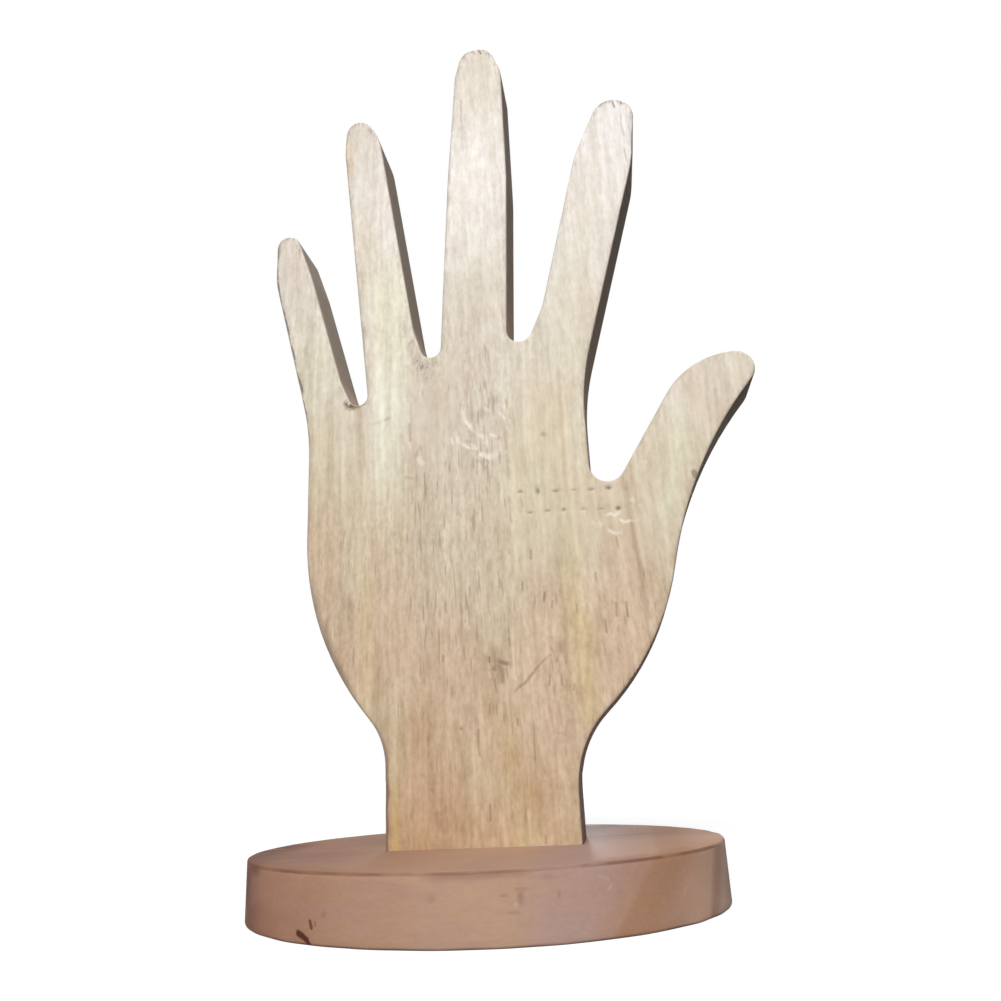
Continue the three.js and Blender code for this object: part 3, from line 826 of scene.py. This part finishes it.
haze = spot(place, on_face(-10.0, 148.0), (16.0, SPOT_DEPTH, 28.0), 0.8)
right_part = rise(x, 15.0, 18.0) * rise(z, 84.0, 104.0)
smooth = most(haze * 0.4, right_part * 0.4, left_part * rise(z, 112.0, 130.0) * 0.4, fingers * 0.3)
shade = (band - 0.5) * (0.28 + 0.25 * left_part) + (streak - 0.5) * 0.3
shade = shade + ((fibre - 0.5) * 0.38 + (grit - 0.5) * 0.34) * (1 - smooth) + (mottle - 0.5) * 0.2
colour = tinted(colour, shade * (1.1 - 0.12 * middle))

straight = vector(x - growth_lean, y, z)
dash = fleck(straight, (1.15, 0.5, 0.15), 0.0, 0.5, (7.0, 3.0, 1.0))
speck = fleck(straight, (1.5, 0.8, 0.4), 0.0, 0.5, (3.0, 8.0, 5.0))
open_pores = rise(dash + (0.1 * middle - 0.3 * smooth) + 0.03 * rise(z, 175.0, 130.0), 0.73, 0.9)
open_pores = most(open_pores, 0.6 * rise(speck + (0.06 * middle - 0.25 * smooth), 0.76, 0.9))
colour = blend(bruise * (0.8 + 0.2 * rise(grit, 0.3, 0.6)), colour, paint(174, 144, 120))
drawn_pores = pore * (0.32 + 0.25 * rise(grit, 0.3, 0.6))
colour = blend(most(open_pores * 0.34, drawn_pores), colour, paint(120, 96, 72))
colour = blend(scar * (0.4 + 0.35 * rise(grit, 0.3, 0.6)), colour, paint(132, 102, 76))
webs = spots(place, on_face, [
    (-12.4, 166.2, 3.6, 2.6, 1.0), (-12.0, 162.5, 3.4, 4.4, 0.5), (-14.6, 169.0, 2.2, 3.4, 0.9),
    (-16.2, 174.0, 1.8, 5.0, 0.7), (-18.2, 181.0, 1.6, 6.0, 0.5), (-8.0, 167.0, 3.0, 1.8, 0.6),
])
colour = blend(webs * 0.4, colour, paint(178, 160, 150))
speckle = fleck(place, (1.1, 0.8, 0.8), 2.0)
colour = blend(webs * rise(speckle, 0.44, 0.64) * 0.6, colour, paint(132, 114, 104))
grime = spots(place, on_face, [
    (-36.8, 155.0, 4.2, 2.6, 1.0), (-38.6, 156.0, 2.0, 2.0, 1.0), (-33.4, 155.4, 2.6, 1.4, 0.7),
], 0.8) * rise(speckle, 0.28, 0.56)
colour = blend(grime * 0.9, colour, paint(88, 70, 58))
tip_marks = strokes(place, on_face, [
    (11.9, 296.3, 12.9, 294.2, 0.5, 0.9), (10.2, 295.2, 10.4, 294.3, 0.5, 0.5),
    (59.6, 262.5, 60.1, 260.0, 0.5, 0.9), (62.6, 262.3, 62.6, 261.0, 0.45, 0.7),
    (61.9, 256.0, 61.8, 251.6, 0.4, 0.3), (61.8, 251.6, 62.4, 247.4, 0.4, 0.3),
    (61.8, 241.8, 62.2, 236.4, 0.35, 0.45), (62.4, 228.6, 62.7, 226.4, 0.45, 0.6),
    (71.6, 120.2, 71.9, 119.0, 1.2, 0.8),
])
colour = blend(tip_marks * 0.7, colour, paint(110, 92, 80))
colour = blend(scuff * (0.5 + 0.35 * rise(grit, 0.3, 0.6)), colour, paint(250, 243, 228))
colour = blend(dent * 0.7, colour, paint(110, 88, 64))

# Dirt and painted shade: a broken dark line along the eased edges that face left and up, stronger
# at the fingertips and on the little finger, weaker on the index finger. Near the rim lie dark
# specks of dirt, and the palm's lower left rim is darker.
edge_breaks = fleck(vector(run, y, z * 0.2), (0.1, 0.4, 1.0), 3.0)
tips = rise(z - tip_height, -16.0, -3.0)
little = rise(x, -36.0, -46.0) * rise(z, 142.0, 160.0)
index = rise(x, 20.0, 28.0) * rise(x, 56.0, 50.0)
edge_line = rise(rim, 0.02, 0.15) * rise(rim, 1.1, 0.7) * rise(lee, 0.5, -0.2)
edge_line = edge_line * rise(edge_breaks, 0.3, 0.56)
line_share = 0.25 - 0.15 * index + 0.5 * most(tips * rise(lee, -0.9, -0.5), little)
soil = rise(rim, 2.6, 0.8) * rise(rim, 0.2, 0.6) * rise(speck, 0.42, 0.7)
lower_left = rise(x, -34.0, -38.0) * patch(x, z, -70.0, -20.0, 56.0, 96.0, 1.0, 8.0)
lower_left = lower_left * rise(rim, 3.0, 0.8)
edge_dirt_and_shade = most(edge_line * line_share, soil * (0.15 + 0.3 * tips), lower_left * 0.45)
colour = blend(edge_dirt_and_shade, colour, paint(112, 100, 92))
# Painted shade on the lower left arris of the wrist, with a red cast painted in as light thrown
# back from the base.
left_arris_shade = rise(x, -23.6, -25.4) * rise(z, 52.0, 36.0) * rise(rim, 1.5, 0.8)
colour = blend(left_arris_shade * 0.6, colour, paint(104, 70, 70))
sawn = rise(rim, 0.5, 0.1)
saw_marks = fleck(vector(run, y, 0.0), (0.8, 0.03, 1.0), 2.0)
sawn_wood = blend(rise(saw_marks, 0.3, 0.7), paint(208, 191, 176), paint(192, 174, 158))
rightward = rise(lee, -0.1, 0.4)
sawn_wood = blend(rise(lee, 0.2, -0.3) * 0.6, sawn_wood, paint(188, 181, 174))
# Painted shade on the right sawn edge at the foot of the wrist, browned as light thrown back from
# the base.
wrist_foot_shade = rightward * rise(x, 14.0, 22.0) * rise(z, 36.0, 22.0)
sawn_wood = blend(wrist_foot_shade * 0.55, sawn_wood, paint(128, 100, 88))
# Painted shade: the sawn edges that face right, from the index finger on, are darker.
sawn_wood = blend(rightward * rise(x, 24.0, 38.0) * 0.35, sawn_wood, paint(150, 128, 112))
colour = blend(sawn * 0.9, colour, sawn_wood)

pale_shader.inputs["Specular IOR Level"].default_value = 0.04
pale_wood.node_tree.links.new(colour.socket, pale_shader.inputs["Base Color"])
pale_wood.node_tree.links.new((0.6 + fibre * 0.16).socket, pale_shader.inputs["Roughness"])
height = fibre * 0.5 + streak * 0.4 - open_pores * 0.6 + saw_marks * sawn * 1.5
grain = place.node("ShaderNodeBump", {}, {"Strength": 0.3, "Distance": 0.0002, "Height": height})
pale_wood.node_tree.links.new(grain.socket, pale_shader.inputs["Normal"])
hand_board.data.materials.append(pale_wood)
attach(hand_board, "root")
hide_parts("hand_board")

# Screws: two countersunk wood screws of plain steel, turned and thread-rolled.
# They come up through the base into the end of the wrist and pull it down into its mortise;
# only their cross-slotted heads show, sunk in the underside.

HEAD_FACE = 1.0
SCREW_END = 33.0
POINT_START = 27.0
CORE_RADIUS = 1.4
POINT_RADIUS = 0.05
THREAD_HEIGHT = 0.6
THREAD_PITCH = 1.8
THREAD_WIDTH = 0.35
SLOT_ARM = 2.1
SLOT_HALF_WIDTH = 0.55
# The screw's radius at each height, and how far its thread stands out at each height.
BODY = [
    (HEAD_FACE, HEAD_RADIUS), (HEAD_RIM, HEAD_RADIUS), (HEAD_END, SHANK_RADIUS),
    (11.0, SHANK_RADIUS), (12.5, CORE_RADIUS), (POINT_START, CORE_RADIUS),
    (SCREW_END, POINT_RADIUS),
]
CREST = [(11.5, 0.0), (13.5, THREAD_HEIGHT), (POINT_START, THREAD_HEIGHT), (SCREW_END, 0.0)]


def screw_barrel(rows, columns):
    """Radius over height and turn: straight lines between the rim, cone, core and point, and a
    rolled thread that stands on the core where the height in pitches, less the turn, comes round
    to a whole number and a half."""
    height = np.linspace(HEAD_FACE, SCREW_END, rows)[:, None]
    turn = np.linspace(0, 1, columns, endpoint=False)[None]
    body = np.interp(height, *np.transpose(BODY))
    crest = np.interp(height, *np.transpose(CREST))
    ridge = np.abs((height / THREAD_PITCH - turn) % 1 - 0.5) * 2
    radius = body + crest * np.clip(1 - ridge / THREAD_WIDTH, 0, 1)
    angle = 2 * np.pi * turn
    return np.stack((radius * np.cos(angle), radius * np.sin(angle), height + 0 * turn), -1)


def cross_ring(arm, slim, steps):
    """A closed plus sign of twelve corners, with arms of that length and that half width."""
    corner = np.array([
        (arm, -slim), (arm, slim), (slim, slim), (slim, arm), (-slim, arm), (-slim, slim),
        (-arm, slim), (-arm, -slim), (-slim, -slim), (-slim, -arm), (slim, -arm), (slim, -slim),
    ])
    return straight_ring(corner, steps)


screw_steel, steel_shader, place = finish_for("screw_steel")
scuff = fleck(place, (1.2, 1.2, 0.4), 3.0)
steel = blend(rise(scuff, 0.35, 0.7), paint(188, 186, 180), paint(150, 147, 142))
steel_shader.inputs["Metallic"].default_value = 1.0
screw_steel.node_tree.links.new(steel.socket, steel_shader.inputs["Base Color"])
screw_steel.node_tree.links.new((0.28 + scuff * 0.25).socket, steel_shader.inputs["Roughness"])

for node, across_base in zip(("screw_left", "screw_right"), SCREW_PLACES):
    screw = Shell()
    barrel = screw.place(screw_barrel(170, 40) + (across_base, 0, 0))
    screw.band(barrel)
    slot_edge = cross_ring(SLOT_ARM, SLOT_HALF_WIDTH, 3) + (across_base, 0)
    slot_wall = [(0, HEAD_FACE), (0.12, HEAD_FACE + 1.0), (0.3, HEAD_FACE + 1.9)]
    slot = screw.place(carry(slot_edge, slot_wall))
    screw.band(slot)
    screw.fill(barrel[0], [slot[0]])
    screw.fill(slot[-1])
    screw.fill(barrel[-1])
    piece = screw.piece(node + "_steel")
    piece.data.materials.append(screw_steel)
    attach(piece, "root")
    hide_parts(node)

# Studio: a floor, a soft lamp in front, a fainter one above and to the left, a low one for the
# back, and the camera of the photograph, low in front of the palm and tipped up. Floor and room are
# white to the eye, and the floor keeps the shadow; what they throw back onto the wood is dim.

WHITE = (1, 1, 1, 1)
ROOM_LIGHT = (0.042, 0.043, 0.046, 1)
FLOOR_HALF = 4
FLOOR_DIM = (0.05, 0.05, 0.05, 1)
FLOOR_PALE = (0.35, 0.35, 0.35, 1)
FLOOR_MIDDLE = (0.8, 0.8, 0.8, 1)
HEART = (0, 0, 0.15)
YAW, PITCH, ROLL = -0.1396518, 0.2975916, -0.0511298
EYE = (0.04480, -0.24527, 0.04384)
LENS = 28.536
SENSOR = 36
NEAR = 0.01


def white_to_the_eye(tree):
    """1 for what the camera sees, straight or in a mirror or through glass, and 0 for light on its
    way."""
    start = Tone(tree)
    return most(*(
        start.node("ShaderNodeLightPath", output=name)
        for name in ("Is Camera Ray", "Is Glossy Ray", "Is Transmission Ray")
    ))


room = bpy.data.worlds.new("room")
room.use_nodes = True
bpy.context.scene.world = room
seen = white_to_the_eye(room.node_tree)
backdrop = room.node_tree.nodes["Background"]
room.node_tree.links.new(blend(seen, ROOM_LIGHT, WHITE).socket, backdrop.inputs["Color"])

floor_mesh = bpy.data.meshes.new("floor")
floor_corners = [(-1, -1, 0), (1, -1, 0), (1, 1, 0), (-1, 1, 0)]
floor_mesh.from_pydata((np.array(floor_corners) * FLOOR_HALF).tolist(), [], [(0, 1, 2, 3)])
floor = bpy.data.objects.new("floor", floor_mesh)
bpy.context.scene.collection.objects.link(floor)
floor_white = bpy.data.materials.new("floor_white")
floor_white.use_nodes = True
tree = floor_white.node_tree
tree.nodes.remove(tree.nodes["Principled BSDF"])
seen = white_to_the_eye(tree)
dim = seen.node("ShaderNodeBsdfDiffuse", {}, {"Color": FLOOR_DIM})
pale = seen.node("ShaderNodeBsdfDiffuse", {}, {"Color": FLOOR_PALE})
floor_place = seen.node("ShaderNodeTexCoord", output=3)
from_middle = seen.node("ShaderNodeVectorMath", {"operation": "LENGTH"}, {0: floor_place}, 1)
near_white = blend(rise(from_middle, 0.15, 0.5), FLOOR_MIDDLE, WHITE)
glow = seen.node("ShaderNodeEmission", {}, {"Color": near_white, "Strength": 1.0})
white = seen.node("ShaderNodeAddShader", {}, {0: pale, 1: glow})
surface = seen.node("ShaderNodeMixShader", {}, {0: seen, 1: dim, 2: white})
tree.links.new(surface.socket, tree.nodes["Material Output"].inputs["Surface"])
floor_mesh.materials.append(floor_white)


def lamp(name, place, aim, power, size):
    """A square soft lamp at a place, turned to face its aim."""
    light = bpy.data.lights.new(name, "AREA")
    light.energy = power
    light.size = size
    made = bpy.data.objects.new(name, light)
    bpy.context.scene.collection.objects.link(made)
    heading = np.array(aim) - np.array(place)
    heading = heading / np.linalg.norm(heading)
    sideways = np.cross(heading, (0, 0, 1))
    sideways = sideways / np.linalg.norm(sideways)
    turned = np.eye(4)
    turned[:3, :3] = np.stack((sideways, np.cross(sideways, heading), -heading), 1)
    turned[:3, 3] = place
    made.matrix_world = Matrix(turned.tolist())


lamp("front_lamp", place=(0.04, -0.95, 0.72), aim=(0.01, 0, 0.15), power=12.0, size=0.3)
lamp("top_lamp", place=(-0.12, -0.42, 1.26), aim=HEART, power=4.5, size=0.4)
lamp("back_lamp", place=(-0.1, 1.0, 0.08), aim=HEART, power=4.2, size=0.12)

forward = np.array((np.sin(YAW) * np.cos(PITCH), np.cos(YAW) * np.cos(PITCH), np.sin(PITCH)))
level = np.array((np.cos(YAW), -np.sin(YAW), 0))
upright = np.cross(level, forward)
view = np.eye(4)
view[:3, 0] = np.cos(ROLL) * level + np.sin(ROLL) * upright
view[:3, 1] = np.cos(ROLL) * upright - np.sin(ROLL) * level
view[:3, 2] = -forward
view[:3, 3] = EYE
camera = bpy.data.objects.new("camera", bpy.data.cameras.new("camera"))
camera.data.sensor_fit = "HORIZONTAL"
camera.data.sensor_width = SENSOR
camera.data.lens = LENS
camera.data.clip_start = NEAR
camera.matrix_world = Matrix(view.tolist())
bpy.context.scene.collection.objects.link(camera)
bpy.context.scene.camera = camera
bpy.context.scene.view_settings.view_transform = "Standard"
